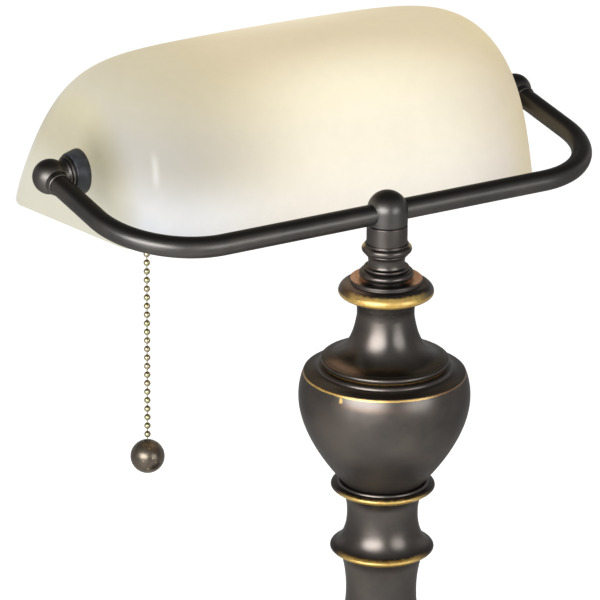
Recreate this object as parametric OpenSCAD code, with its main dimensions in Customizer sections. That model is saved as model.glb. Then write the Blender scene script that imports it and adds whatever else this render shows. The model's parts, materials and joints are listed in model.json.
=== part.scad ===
// Bankers lamp: a turned bronze column on a weighted round base carries a bent-tube yoke.
// A pressed glass shade tilts between the two ends of the yoke, over a pull-chain lamp holder.
// Millimetres, +Z up, origin on the table under the column's axis. The yoke's bar runs along X
// and its arms reach towards +Y.

/* [Base] */
// Outside radius of the plinth
base_r = 82; // [78:1:95]
// Height of the base cover above the table
base_h = 48; // [46:1:56]
// Wall of the cast base cover
base_wall = 4; // [3:0.5:5]
// Height of the plain band round the foot
plinth_h = 14; // [13:0.5:16]
// Thickness of the felt under the base
felt_t = 2; // [1:0.5:3]
// Radius of the iron weight inside the base
weight_r = 58; // [50:1:60]
// Bore of the bush that the supply lead enters through, radius
inlet_r = 3.3; // [2.5:0.1:3.8]

/* [Column] */
// Height of the trumpet section that stands on the base
trumpet_h = 54; // [48:1:70]
// Radius of the trumpet's foot
trumpet_foot_r = 31; // [28:0.5:33]
// Least radius of the trumpet and of the spool above it
waist_r = 17.6; // [16.5:0.1:19]
// Height of the spool between the two rings
spool_h = 33; // [30:0.5:40]
// Radius of the two rings under the vase
ring_r = 25.8; // [25:0.1:28]
// Height of the upper ring
ring_h = 5.5; // [5:0.1:7]
// Height of the vase up to its seam
vase_h = 57; // [52:0.5:66]
// Largest radius of the vase
vase_r = 42.3; // [41.5:0.1:46]
// Radius of the vase's foot
vase_foot_r = 20.3; // [19.5:0.1:20.5]
// Height of the shoulder that closes the vase
shoulder_h = 4.5; // [4:0.1:6]
// Height of the bell
bell_h = 33.5; // [31:0.5:40]
// Radius of the bead round the bell's mouth
bell_r = 31.7; // [30.5:0.1:33.5]
// Least radius of the bell
bell_neck_r = 14.1; // [13.5:0.1:14.8]
// Height of the rounded disc
disc_h = 11; // [10.5:0.5:14]
// Largest radius of the rounded disc
disc_r = 23.4; // [22:0.1:26]
// Height of the small spool under the hub
neck_h = 18; // [17:0.5:22]
// Radius of that spool's lower flange
neck_flange_r = 13.4; // [12.9:0.1:14.5]
// Wall of the hollow column castings
cast_wall = 3; // [2.5:0.1:3.5]

/* [Hub and rod] */
// Radius of the domed hub and its collar
hub_r = 10; // [9:0.1:11]
// How far the hub reaches below the bar's axis
hub_drop = 6; // [6:0.1:9]
// Height of the collar that shows under the hub
collar_h = 9.5; // [7:0.5:12]
// Radius of the threaded rod and of the threaded pivots
rod_r = 5; // [4.5:0.1:5]
// Bore radius of the rod and of the pivots
rod_bore_r = 3.2; // [2.5:0.1:3.5]

/* [Yoke] */
// Radius of the yoke's tube
tube_r = 5.2; // [4.5:0.1:5.5]
// Wall of the yoke's tube
tube_wall = 1.5; // [1:0.1:2]
// Distance of each arm from the column's axis
arm_x = 136; // [134:0.5:145]
// Reach of the arms from the bar to the tilt axis, along Y
reach_y = 90; // [86:1:105]
// Rise of the arms from the bar to the tilt axis
reach_z = 15; // [5:1:25]
// Centre-line radius of the bends
bend_r = 44; // [30:1:46]
// Radius of the ball at the end of each arm
ball_r = 8.7; // [8.2:0.1:9.5]

/* [Shade] */
// Half length of the glass, before its ends are flattened
shade_half = 121; // [120:0.5:124]
// Distance of the flat pivot seats from the column's axis
seat_x = 119; // [117:0.5:119.5]
// Front edge of the rim, towards the bar
rim_front = 26; // [22:1:34]
// Back edge of the rim, away from the bar
rim_back = 188; // [170:1:192]
// Place of the ridge
ridge_y = 112; // [95:1:116]
// Height of the rim below the bar's axis
rim_drop = 15.5; // [12:0.5:18]
// Height of the ridge above the bar's axis
ridge_rise = 65.5; // [63:0.5:72]
// Thickness of the glass
glass_t = 3.8; // [3:0.1:4.5]
// Tilt of the shade at rest, down at the back
rest_tilt = 5.2; // [0:0.1:8]
// Radius of the pivot holes in the glass
glass_hole_r = 6.5; // [6.2:0.1:7]

/* [Lamp holder] */
// Radius of the holder's cap
cap_r = 17; // [16.8:0.1:18]
// Length of the holder's cap
cap_len = 27; // [26:0.5:30]
// Length of the whole holder
holder_len = 59; // [57:0.5:63]
// Inside radius of the screw shell
screw_r = 13.4; // [13.2:0.1:13.6]
// Radius of the bulb's globe
globe_r = 30; // [26:0.5:31]
// Length of the bulb from its tip
bulb_len = 107; // [100:1:112]

/* [Pull chain] */
// Distance of the chain from the holder's outer end
chain_s = 20.5; // [19:0.5:20.5]
// Travel of the pull
pull_travel = 6; // [4:0.5:6]
// Radius of a chain bead
bead_r = 1.65; // [1.5:0.05:1.75]
// Spacing of the beads
bead_pitch = 4.57; // [4.4:0.01:4.8]
// Beads in the hanging part
bead_count = 25; // [10:1:28]
// Radius of the ball on the chain's end
pull_ball_r = 8.6; // [7:0.1:10]

/* [Hidden] */
$fn = 64;

// Clearances
fit_gap = 0.05;
run_gap = 0.08;
seat_gap = 0.1;
loose_gap = 0.3;
cut = 0.5;

// Heights up the column
trumpet_z = base_h;
spool_z = trumpet_z + trumpet_h;
ring_z = spool_z + spool_h;
vase_z = ring_z + ring_h;
shoulder_z = vase_z + vase_h;
bell_z = shoulder_z + shoulder_h;
disc_z = bell_z + bell_h;
neck_z = disc_z + disc_h;
collar_z = neck_z + neck_h;
hub_z = collar_z + collar_h;
bar_z = hub_z + hub_drop;
pivot_z = bar_z + reach_z;
collar_sink = 1.5;
dome_lift = 1;
flare = 3.2;
vase_lip = 2.3;
seam_chamfer = 0.5;
rod_hole_r = rod_r + fit_gap;

// Base and its clamp, upwards from the table
felt_inset = 1.5;
rod_end_z = felt_t + 5;
rod_stick_out = 0.6;
nut_h = 5;
washer_h = 1.4;
nut_z = rod_end_z + rod_stick_out;
washer_z = nut_z + nut_h;
weight_z = washer_z + washer_h;
nut_r = rod_r * 1.7;
washer_r = rod_r * 2;
weight_boss_r = 14;
inlet_z = felt_t + 6.2;
bush_wall = 1.3;
bush_r = inlet_r + bush_wall;
bush_flange_r = bush_r + 1.2;
bush_flange_t = 2;
bush_in_y = base_r - base_wall - 2;
bush_out_y = base_r + 0.02;
lead_slot_w = 9;
lead_slot_h = 6;

// Yoke
arm_len = norm([reach_y, reach_z]);
arm_rise = atan2(reach_z, reach_y);
tube_bore_r = tube_r - tube_wall;
tube_hole_r = tube_r + fit_gap;
tube_start = rod_r + 1.2;
tube_end = arm_len - tube_r - 1;
ball_neck_r = ball_r - 1.4;
ball_boss_r = tube_r + 0.7;
ball_boss_len = ball_r + 1.2;

// Pivots, inwards along X from the ball
spigot_x = arm_x - ball_r + 0.2;
cup_t = 1.5;
cup_r = ball_neck_r + 1.4;
grommet_x = spigot_x - cup_t;
grommet_small_r = 9.7;
grommet_big_r = 11.2;
grommet_in_x = seat_x + seat_gap;
inside_x = seat_x - glass_t;
sleeve_r = glass_hole_r - run_gap;
sleeve_in_x = inside_x + seat_gap;
inner_rubber_t = 3.5;
inner_rubber_r = 10.5;
inner_rubber_x = inside_x - seat_gap;
clamp_x = inner_rubber_x - inner_rubber_t;
clamp_t = 1.6;
clamp_r = 10;
lock_x = clamp_x - clamp_t;
lock_t = 6.5;
holder_gap = 0.5;
holder_x = lock_x - lock_t - holder_gap;
nipple_out_x = arm_x - tube_r + 0.6;
stud_in_x = lock_x - lock_t - 2;
nipple_in_x = holder_x - 5;

// Shade outline: how square and how round its slices and its sections are
end_curve = 6.5;
end_round = 6.5;
front_curve = 3.4;
front_round = 2;
back_curve = 1.2;
back_round = 1.65;
plan_square_rim = 5.3;
plan_square_top = 2.05;
shade_rings = 15;
shade_sides = 64;

// Lamp holder, measured from its outer end along the tilt axis
cap_wall = 0.9;
shell_r = cap_r - cap_wall - fit_gap;
shell_wall = 0.8;
shell_lap = 6;
shell_s = cap_len - shell_lap;
shell_lip_r = cap_r;
shell_lip_len = 2;
liner_r = shell_r - shell_wall - fit_gap;
liner_t = 0.5;
body_r = liner_r - fit_gap;
body_s = 12.5;
body_past_cap = 6;
body_end_s = cap_len + body_past_cap;
screw_t = 0.6;
screw_end_s = holder_len - 2;
contact_h = 2.6;
tip_s = body_end_s + contact_h + loose_gap;
bulb_tip_h = 4.6;
bulb_cap_s = tip_s + bulb_tip_h;
bulb_cap_len = 20.4;
bulb_cap_end_s = bulb_cap_s + bulb_cap_len;
bulb_cap_r = screw_r - 0.45;
globe_s = tip_s + bulb_len - globe_r;
bulb_throat = 8;
bulb_glass_t = 0.8;

// Switch inside the holder: depths are measured down from the tilt axis
lever_arm = 9;
lever_pin_s = chain_s + lever_arm;
lever_d = 6;
lever_turn = pull_travel / lever_arm * 180 / PI;
fork_tip = 0.75;
lever_len = lever_arm / cos(lever_turn) + fork_tip;
lever_half = 1.2;
lever_w = 4.4;
fork_gap = 1.4;
pin_r = 1;
lever_hub_r = 2.6;
slot_w = 7;
slot_top = -2;
slot_room = 1.8;
slot_s = lever_pin_s - lever_len - slot_room;
slot_end_s = lever_pin_s + lever_hub_r + loose_gap + 0.2;
stop_d = lever_d - lever_half - loose_gap - bead_r;
first_d = stop_d + 2 * bead_pitch;

// Guide and chain, also measured down from the tilt axis
guide_r = 3.4;
guide_bore_r = bead_r + 0.5;
guide_lip_r = guide_r + 1.5;
guide_flange_r = guide_r + 1;
guide_flange_t = 0.5;
guide_in_d = sqrt(pow(cap_r - cap_wall, 2) - pow(guide_flange_r, 2)) - guide_flange_t - fit_gap;
guide_out_d = cap_r + 8;
chain_x = chain_s - holder_x;
upper_count = 4;
bead_wall = 0.25;
bead_hole_r = 0.45;
link_r = 0.3;
link_head_r = 0.58;
link_seat = 0.66;
coupling_wall = 0.6;
coupling_r = bead_r + 0.35 + coupling_wall;
coupling_hole_top_r = 0.9;
coupling_hole_low_r = 1.3;
coupling_gap = 2.3;
ball_link = bead_pitch + 1;
ball_pocket = 1.6;
ball_eye_r = 1.7;
ball_eye_depth = 0.6;
tail_d = first_d + upper_count * bead_pitch;
hang_d = tail_d + 2 * bead_r + coupling_gap;
coupling_top_d = tail_d - bead_r - 0.2 - coupling_wall;
coupling_end_d = hang_d + sqrt(pow(bead_r, 2) - pow(coupling_hole_low_r, 2)) + 0.9;
last_d = hang_d + (bead_count - 1) * bead_pitch;
ball_head_d = last_d + ball_link - link_seat;
ball_d = ball_head_d - ball_pocket + pull_ball_r;

// Colours
bronze = [0.16, 0.12, 0.1];
worn = [0.5, 0.36, 0.2];
cream = [0.93, 0.9, 0.82];

// Curves
function bezier(a, b, c, d, n = 12) =
    [for (i = [0:n]) let (t = i / n, s = 1 - t) s*s*s*a + 3*s*s*t*b + 3*s*t*t*c + t*t*t*d];
function arc(centre, r, from, to, n = 8) =
    [for (i = [0:n]) let (a = from + (to - from) * i / n) centre + r * [cos(a), sin(a)]];
function to_axis(outline) =
    concat(outline, [[0, outline[len(outline) - 1][1]], [0, outline[0][1]]]);

// A solid of revolution from an outline that runs upwards, with a bore on its axis
module turned(outline, bore_r) {
    rotate_extrude()
        difference() {
            polygon(to_axis(outline));
            translate([-cut, -bar_z])
                square([cut + bore_r, 2 * bar_z]);
        }
}

// The same, hollowed by its own outline moved in and up or down
module turned_shell(outline, bore_r, wall, rise) {
    rotate_extrude()
        difference() {
            polygon(to_axis(outline));
            translate([-wall, rise])
                polygon(to_axis(outline));
            translate([-cut, -bar_z])
                square([cut + bore_r, 2 * bar_z]);
        }
}

module ring(r, bore_r, h) {
    difference() {
        cylinder(r = r, h = h);
        translate([0, 0, -cut])
            cylinder(r = bore_r, h = h + 2 * cut);
    }
}

module hex_nut(r, bore_r, h) {
    difference() {
        cylinder(r = r, h = h, $fn = 6);
        translate([0, 0, -cut])
            cylinder(r = bore_r, h = h + 2 * cut);
    }
}

// Base
function base_outline() = concat(
    [[base_r - 1, felt_t], [base_r, felt_t + 1.2], [base_r, plinth_h - 1]],
    arc([base_r - 1.5, plinth_h - 1], 1.5, 0, 90, 5),
    [[base_r - 4, plinth_h + 0.5]],
    bezier([base_r - 4.5, plinth_h + 1.5], [base_r - 12, plinth_h + 13],
           [trumpet_foot_r + 16, base_h - 22], [trumpet_foot_r + 5, base_h - 11], 16),
    arc([trumpet_foot_r + 3.5, base_h - 7.5], 2.5, -70, 90, 9),
    [[trumpet_foot_r + 1.5, base_h - 4.4], [trumpet_foot_r + 1.5, base_h - 0.8],
     [trumpet_foot_r + 0.7, base_h]]
);

module base_pad() {
    color("darkolivegreen")
        cylinder(r = base_r - felt_inset, h = felt_t);
}

module base_shell() {
    color(bronze)
        difference() {
            turned_shell(base_outline(), rod_hole_r, base_wall, -base_wall);
            translate([0, weight_r, inlet_z])
                rotate([-90, 0, 0])
                    cylinder(r = bush_r + fit_gap, h = base_r);
        }
}

module base_weight() {
    outline = [
        [weight_r, weight_z], [weight_r, weight_z + 2.5], [weight_r * 0.5, weight_z + 12],
        [weight_boss_r, weight_z + 14], [weight_boss_r, base_h - base_wall]
    ];
    color("dimgray")
        difference() {
            turned(outline, rod_hole_r);
            translate([-lead_slot_w / 2, washer_r + 1, weight_z - cut])
                cube([lead_slot_w, weight_r, lead_slot_h]);
        }
}

module cord_bush() {
    color("black")
        translate([0, bush_in_y, inlet_z])
            rotate([-90, 0, 0])
                difference() {
                    union() {
                        cylinder(r = bush_r, h = bush_out_y - bush_in_y + bush_flange_t);
                        translate([0, 0, bush_out_y - bush_in_y])
                            cylinder(r = bush_flange_r, h = bush_flange_t);
                    }
                    translate([0, 0, -cut])
                        cylinder(r = inlet_r, h = bush_out_y - bush_in_y + bush_flange_t + 2 * cut);
                }
}

// Rod and its clamp
module rod_nut() {
    color("silver")
        translate([0, 0, nut_z])
            hex_nut(nut_r, rod_hole_r, nut_h);
}

module rod_washer() {
    color("silver")
        translate([0, 0, washer_z])
            ring(washer_r, rod_hole_r, washer_h);
}

module stem_rod() {
    color("silver")
        translate([0, 0, rod_end_z])
            ring(rod_r, rod_bore_r, bar_z - tube_bore_r + 1 - rod_end_z);
}

// Column, from the base upwards
function trumpet_outline() = concat(
    [[trumpet_foot_r - 0.6, 0], [trumpet_foot_r, 0.8], [trumpet_foot_r, 2.2], [trumpet_foot_r - 0.8, 3]],
    bezier([trumpet_foot_r - 1.4, 3.6], [waist_r + 4, 7], [waist_r, 19], [waist_r, trumpet_h - 21], 14),
    bezier([waist_r, trumpet_h - 20.5], [waist_r, trumpet_h - 12],
           [waist_r + 1.5, trumpet_h - 5], [waist_r + flare, trumpet_h], 8)
);

module lower_column() {
    inner = [
        [trumpet_foot_r - 5, -cut], [trumpet_foot_r - 5, 2], [waist_r - 6, 22],
        [waist_r - 6, trumpet_h - 4], [0, trumpet_h - 4], [0, -cut]
    ];
    color(bronze)
        translate([0, 0, trumpet_z])
            difference() {
                turned(trumpet_outline(), rod_hole_r);
                rotate_extrude()
                    polygon(inner);
            }
}

// Edge of a ring: a worn chamfer below, a rounded rim, and the start of the slope above
function ring_edge() = concat(
    [[waist_r + flare, 0], [ring_r - 2.4, 0.4], [ring_r - 0.5, 1.8]],
    arc([ring_r - 1.2, 2.7], 1.2, -20, 70, 6)
);

function spool_outline() = concat(
    ring_edge(),
    bezier([ring_r - 2.4, 4.5], [ring_r - 5.4, 6.8], [waist_r, 12.5], [waist_r, spool_h - 12.5], 12),
    bezier([waist_r, spool_h - 12], [waist_r, spool_h - 6],
           [waist_r + 1.2, spool_h - 3], [waist_r + flare, spool_h], 8)
);

module middle_spool() {
    color(bronze)
        translate([0, 0, spool_z])
            difference() {
                turned(spool_outline(), rod_hole_r);
                translate([0, 0, -cut])
                    cylinder(r = waist_r - 6, h = spool_h - 4 + cut);
            }
}

module vase_ring() {
    outline = concat(
        ring_edge(),
        [[ring_r - 3.2, ring_h - 1.2], [ring_r - 3.5, ring_h - 0.4],
         [ring_r - 3.9, ring_h], [vase_foot_r, ring_h]]
    );
    color(bronze)
        translate([0, 0, ring_z])
            turned(outline, rod_hole_r);
}

function vase_outline() = concat(
    bezier([vase_foot_r, 0], [vase_foot_r + 10.6, 12], [vase_r, vase_h - 28], [vase_r, vase_h - 12.6], 16),
    bezier([vase_r, vase_h - 11.6], [vase_r, vase_h - 7.6],
           [vase_r - 1, vase_h - 3], [vase_r - vase_lip, vase_h], 8)
);

module vase() {
    color(bronze)
        translate([0, 0, vase_z])
            turned_shell(vase_outline(), rod_hole_r, cast_wall, cast_wall);
}

function shoulder_outline() = concat(
    [[vase_r - vase_lip - 0.2, 0], [vase_r - vase_lip - 0.1, 0.3]],
    bezier([vase_r - vase_lip - 0.4, 0.6], [vase_r - 4.2, 0.9],
           [bell_r + 3.2, 1], [bell_r + 1.6, shoulder_h - 2.2], 10),
    bezier([bell_r + 1.5, shoulder_h - 2], [bell_r + 1.2, shoulder_h - 1.2],
           [bell_r + 0.9, shoulder_h - 0.6], [bell_r - 0.2, shoulder_h - 0.4], 6),
    [[bell_r - 0.9, shoulder_h]]
);

module vase_shoulder() {
    spigot_r = vase_r - cast_wall - vase_lip;
    color(bronze)
        translate([0, 0, shoulder_z])
            difference() {
                union() {
                    turned(shoulder_outline(), rod_hole_r);
                    translate([0, 0, -2])
                        ring(spigot_r, rod_hole_r, 2 + shoulder_h / 2);
                }
                translate([0, 0, -2 - cut])
                    cylinder(r = spigot_r - cast_wall, h = 2 + cut + shoulder_h - cast_wall);
            }
}

function bell_outline() = concat(
    [[bell_r - 1.2, 0]],
    arc([bell_r - 1.4, 1.8], 1.4, -60, 80, 8),
    [[bell_r - 2, 3.3]],
    bezier([bell_r - 2.4, 3.6], [bell_neck_r + 5.6, 4.5],
           [bell_neck_r + 1.6, 14], [bell_neck_r, bell_h - 8], 14),
    bezier([bell_neck_r, bell_h - 7.5], [bell_neck_r, bell_h - 4], [bell_neck_r + 0.3, bell_h - 1.5],
           [bell_neck_r + 1, bell_h], 6)
);

module bell_neck() {
    color(bronze)
        translate([0, 0, bell_z])
            turned_shell(bell_outline(), rod_hole_r, cast_wall, -cast_wall);
}

function disc_outline() = concat(
    [[bell_neck_r + 1.2, 0], [disc_r - 5.9, 0.4]],
    bezier([disc_r - 5.2, 0.7], [disc_r - 2.4, 1.6], [disc_r, 2.6], [disc_r, disc_h - 7], 8),
    bezier([disc_r, disc_h - 6.8], [disc_r, disc_h - 4.5], [disc_r - 2.5, disc_h - 2.2],
           [disc_r - 5.6, disc_h - 1.9], 8),
    [[disc_r - 5.6, disc_h - 0.4], [disc_r - 6, disc_h]]
);

module disc_collar() {
    color(worn)
        translate([0, 0, disc_z])
            turned(disc_outline(), rod_hole_r);
}

function neck_outline() = concat(
    [[neck_flange_r - 1, 0]],
    arc([neck_flange_r - 2, 2.3], 2, -60, 80, 8),
    [[neck_flange_r - 2.6, 4.5]],
    arc([neck_flange_r - 3.1, 5.3], 0.9, -60, 70, 5),
    bezier([neck_flange_r - 3.9, 6.2], [neck_flange_r - 4.7, 7.1], [neck_flange_r - 4.6, 10.5],
           [neck_flange_r - 3.6, neck_h - 6.1], 8),
    arc([neck_flange_r - 3.4, neck_h - 5.4], 0.6, -60, 80, 4),
    arc([neck_flange_r - 3.2, neck_h - 2.9], 2.1, -70, 75, 8),
    [[hub_r + 0.7, neck_h - 0.5], [hub_r + 0.6, neck_h]]
);

module neck_spool() {
    color(bronze)
        translate([0, 0, neck_z])
            difference() {
                turned(neck_outline(), rod_hole_r);
                translate([0, 0, neck_h - collar_sink])
                    cylinder(r = hub_r + 0.15, h = collar_sink + cut);
            }
}

// Hub
module hub_collar() {
    h = collar_h + collar_sink;
    outline = [[hub_r, 0], [hub_r, h - seam_chamfer], [hub_r - seam_chamfer, h]];
    color(bronze)
        translate([0, 0, collar_z - collar_sink])
            turned(outline, rod_hole_r);
}

module hub_tee() {
    outline = concat(
        [[hub_r - seam_chamfer, -hub_drop], [hub_r, -hub_drop + seam_chamfer]],
        arc([0, dome_lift], hub_r, 0, 90, 16)
    );
    color(bronze)
        translate([0, 0, bar_z])
            difference() {
                turned(outline, 0);
                translate([-2 * hub_r, 0, 0])
                    rotate([0, 90, 0])
                        cylinder(r = tube_hole_r, h = 4 * hub_r);
                translate([0, 0, -hub_drop - cut])
                    cylinder(r = rod_hole_r, h = hub_drop + cut);
            }
}

// Yoke: one bent tube on each side of the hub
module yoke_arm(side) {
    color(bronze)
        translate([0, 0, bar_z])
            rotate([arm_rise, 0, 0])
                mirror([side < 0 ? 1 : 0, 0, 0])
                    union() {
                        translate([tube_start, 0, 0])
                            rotate([0, 90, 0])
                                ring(tube_r, tube_bore_r, arm_x - bend_r - tube_start);
                        translate([arm_x - bend_r, bend_r, 0])
                            rotate([0, 0, -90])
                                rotate_extrude(angle = 90)
                                    translate([bend_r, 0])
                                        difference() {
                                            circle(r = tube_r);
                                            circle(r = tube_bore_r);
                                        }
                        translate([arm_x, bend_r, 0])
                            rotate([-90, 0, 0])
                                ring(tube_r, tube_bore_r, tube_end - bend_r);
                    }
}

module yoke_arm_left() {
    yoke_arm(-1);
}

module yoke_arm_right() {
    yoke_arm(1);
}

// Pivots: local Z runs outwards from the column along the tilt axis
module on_pivot(side) {
    translate([0, reach_y, pivot_z])
        rotate([0, 90 * side, 0])
            children();
}

module elbow() {
    difference() {
        union() {
            translate([arm_x, reach_y, pivot_z])
                sphere(r = ball_r);
            on_pivot(1)
                translate([0, 0, spigot_x])
                    cylinder(r = ball_neck_r, h = arm_x - spigot_x);
            translate([arm_x, reach_y, pivot_z])
                rotate([90 + arm_rise, 0, 0])
                    cylinder(r = ball_boss_r, h = ball_boss_len);
        }
        on_pivot(1)
            translate([0, 0, spigot_x - cut])
                cylinder(r = rod_hole_r, h = arm_x - spigot_x + cut);
        translate([arm_x, reach_y, pivot_z])
            rotate([90 + arm_rise, 0, 0])
                cylinder(r = tube_hole_r, h = ball_boss_len + cut);
    }
}

module elbow_left() {
    color(bronze)
        mirror([1, 0, 0])
            elbow();
}

module elbow_right() {
    color(bronze)
        elbow();
}

module pivot_nipple() {
    color("silver")
        on_pivot(-1)
            translate([0, 0, nipple_in_x])
                ring(rod_r, rod_bore_r, nipple_out_x - nipple_in_x);
}

module pivot_stud() {
    color("silver")
        on_pivot(1)
            translate([0, 0, stud_in_x])
                ring(rod_r, rod_bore_r, nipple_out_x - stud_in_x);
}

module both_pivots() {
    for (side = [-1, 1])
        on_pivot(side)
            children();
}

module pivot_cups() {
    color(worn)
        both_pivots()
            translate([0, 0, grommet_x])
                ring(cup_r, rod_hole_r, cup_t);
}

// Tapered rubber, with a sleeve that lines the hole in the glass
module outer_grommets() {
    outline = [
        [sleeve_r, sleeve_in_x], [sleeve_r, grommet_in_x], [grommet_big_r, grommet_in_x],
        [grommet_big_r, grommet_in_x + 1.5], [grommet_small_r, grommet_x], [rod_hole_r, grommet_x],
        [rod_hole_r, sleeve_in_x]
    ];
    color([0.08, 0.09, 0.1])
        both_pivots()
            rotate_extrude()
                polygon(outline);
}

module inner_washers() {
    color([0.08, 0.09, 0.1])
        both_pivots()
            translate([0, 0, clamp_x])
                ring(inner_rubber_r, rod_hole_r, inner_rubber_t);
}

module clamp_washers() {
    color("silver")
        both_pivots()
            translate([0, 0, lock_x])
                ring(clamp_r, rod_hole_r, clamp_t);
}

module pivot_nuts() {
    color("silver")
        both_pivots()
            translate([0, 0, lock_x - lock_t])
                hex_nut(nut_r, rod_hole_r, lock_t);
}

// Shade: level slices are rounded rectangles that shrink from the rim to a ridge
function signed_power(v, e) = sign(v) * pow(abs(v), e);
function dome(h, curve, round) = pow(max(0, 1 - pow(h, curve)), 1 / round);
function shade_point(h, u, inset) =
    let (
        half = (shade_half - inset) * dome(h, end_curve, end_round),
        front = (ridge_y - rim_front - inset) * dome(h, front_curve, front_round),
        back = (rim_back - ridge_y - inset) * dome(h, back_curve, back_round),
        square = 2 / (plan_square_rim + (plan_square_top - plan_square_rim) * h),
        x = half * signed_power(cos(u), square),
        limit = seat_x - inset
    )
    [
        max(-limit, min(limit, x)),
        ridge_y + (back - front) / 2 + (front + back) / 2 * signed_power(sin(u), square),
        -rim_drop + (rim_drop + ridge_rise - inset) * h
    ];
function shade_level(i) = sin(90 * (i == shade_rings ? i - 0.4 : i) / shade_rings);
function shade_surface(inset) = [
    for (i = [0:shade_rings], j = [0:shade_sides - 1])
        shade_point(shade_level(i), 360 * (j + 0.5) / shade_sides, inset)
];

module shade_glass_form() {
    n = shade_sides;
    inside = n * (shade_rings + 1);
    top = n * shade_rings;
    skin = [
        for (i = [0:shade_rings - 1], j = [0:n - 1])
            let (a = n * i + j, b = n * i + (j + 1) % n)
                each [[a, a + n, b + n], [a, b + n, b]]
    ];
    lining = [for (f = skin) [inside + f[0], inside + f[2], inside + f[1]]];
    rim = [
        for (j = [0:n - 1])
            let (b = (j + 1) % n)
                each [[j, b, inside + b], [j, inside + b, inside + j]]
    ];
    lid = [[for (j = [0:n - 1]) top + n - 1 - j], [for (j = [0:n - 1]) inside + top + j]];
    polyhedron(
        points = concat(shade_surface(0), shade_surface(glass_t)),
        faces = concat(skin, lining, rim, lid)
    );
}

module glass_shade() {
    color(cream)
        difference() {
            translate([0, reach_y, pivot_z])
                rotate([-rest_tilt, 0, 0])
                    translate([0, -reach_y, -reach_z])
                        shade_glass_form();
            translate([-2 * seat_x, reach_y, pivot_z])
                rotate([0, 90, 0])
                    cylinder(r = glass_hole_r, h = 4 * seat_x);
        }
}

// Lamp holder: local Z runs along the tilt axis from the holder's outer end, local X points down
module on_holder() {
    translate([-holder_x, reach_y, pivot_z])
        rotate([0, 90, 0])
            children();
}

module socket_cap() {
    neck_r = rod_r + 2.2;
    outline = concat(
        [[neck_r, 0], [neck_r, 3.5]],
        bezier([neck_r + 1.2, 4], [cap_r - 3, 5], [cap_r, 9], [cap_r, 14], 10),
        [[cap_r, cap_len]]
    );
    inner = concat(
        [[rod_hole_r, 5.5], [neck_r, 5.5]],
        bezier([neck_r + 1, 5.6], [cap_r - 3.9, 6.4], [cap_r - cap_wall, 10], [cap_r - cap_wall, 14.5], 10),
        [[cap_r - cap_wall, cap_len + cut], [0, cap_len + cut], [0, 5.5]]
    );
    color(bronze)
        on_holder()
            difference() {
                turned(outline, rod_hole_r);
                rotate_extrude()
                    polygon(inner);
                translate([0, 0, chain_s])
                    rotate([0, 90, 0])
                        cylinder(r = guide_r + fit_gap, h = 2 * cap_r);
            }
}

module socket_shell() {
    inner_r = shell_r - shell_wall;
    outline = [
        [inner_r, shell_s], [shell_r, shell_s], [shell_r, holder_len - shell_lip_len],
        [shell_lip_r, holder_len - shell_lip_len], [shell_lip_r, holder_len], [inner_r, holder_len]
    ];
    color(bronze)
        on_holder()
            difference() {
                rotate_extrude()
                    polygon(outline);
                translate([0, 0, chain_s])
                    rotate([0, 90, 0])
                        cylinder(r = guide_flange_r + loose_gap, h = 2 * cap_r);
            }
}

module socket_liner() {
    color("tan")
        on_holder()
            translate([0, 0, body_end_s + 0.2])
                ring(liner_r, liner_r - liner_t, screw_end_s - body_end_s);
}

module socket_body() {
    color([0.25, 0.16, 0.1])
        on_holder()
            difference() {
                translate([0, 0, body_s])
                    cylinder(r = body_r, h = body_end_s - body_s);
                translate([slot_top, -slot_w / 2, slot_s])
                    cube([2 * body_r, slot_w, slot_end_s - slot_s]);
                translate([0, 0, body_s - cut])
                    cylinder(r = rod_bore_r, h = chain_s - body_s);
                translate([lever_d, body_r, lever_pin_s])
                    rotate([90, 0, 0])
                        cylinder(r = pin_r + fit_gap / 2, h = 2 * body_r);
            }
}

module screw_shell() {
    outline = [
        [6, body_end_s], [screw_r + screw_t, body_end_s], [screw_r + screw_t, screw_end_s],
        [screw_r, screw_end_s], [screw_r, body_end_s + screw_t], [6, body_end_s + screw_t]
    ];
    color("goldenrod")
        on_holder()
            rotate_extrude()
                polygon(outline);
}

module centre_contact() {
    color("goldenrod")
        on_holder()
            translate([0, 0, body_end_s])
                union() {
                    cylinder(r = 4, h = 0.8);
                    cylinder(r1 = 3.2, r2 = 2, h = contact_h);
                }
}

module chain_guide() {
    outline = [
        [guide_bore_r, guide_in_d], [guide_flange_r, guide_in_d],
        [guide_flange_r, guide_in_d + guide_flange_t],
        [guide_r, guide_in_d + guide_flange_t], [guide_r, guide_out_d - 2.5],
        [guide_lip_r, guide_out_d - 0.6], [guide_lip_r, guide_out_d],
        [guide_lip_r - 1, guide_out_d], [guide_bore_r, guide_out_d - 2.5]
    ];
    color(bronze)
        on_holder()
            translate([0, 0, chain_s])
                rotate([0, 90, 0])
                    rotate_extrude()
                        polygon(outline);
}

module switch_pin() {
    half = sqrt(pow(body_r, 2) - pow(lever_d + pin_r, 2)) - loose_gap;
    color("silver")
        on_holder()
            translate([lever_d, half, lever_pin_s])
                rotate([90, 0, 0])
                    cylinder(r = pin_r, h = 2 * half);
}

// Forked lever that the stop bead pulls down
module switch_lever() {
    fork_len = lever_len - lever_arm + 3;
    color("goldenrod")
        on_holder()
            translate([lever_d, 0, lever_pin_s])
                difference() {
                    union() {
                        translate([-lever_half, -lever_w / 2, -lever_len])
                            cube([2 * lever_half, lever_w, lever_len]);
                        translate([0, lever_w / 2, 0])
                            rotate([90, 0, 0])
                                cylinder(r = lever_hub_r, h = lever_w);
                    }
                    translate([0, lever_w, 0])
                        rotate([90, 0, 0])
                            cylinder(r = pin_r + run_gap, h = 2 * lever_w);
                    translate([-2 * lever_half, -fork_gap / 2, -lever_len - cut])
                        cube([4 * lever_half, fork_gap, fork_len + cut]);
                }
}

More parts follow.
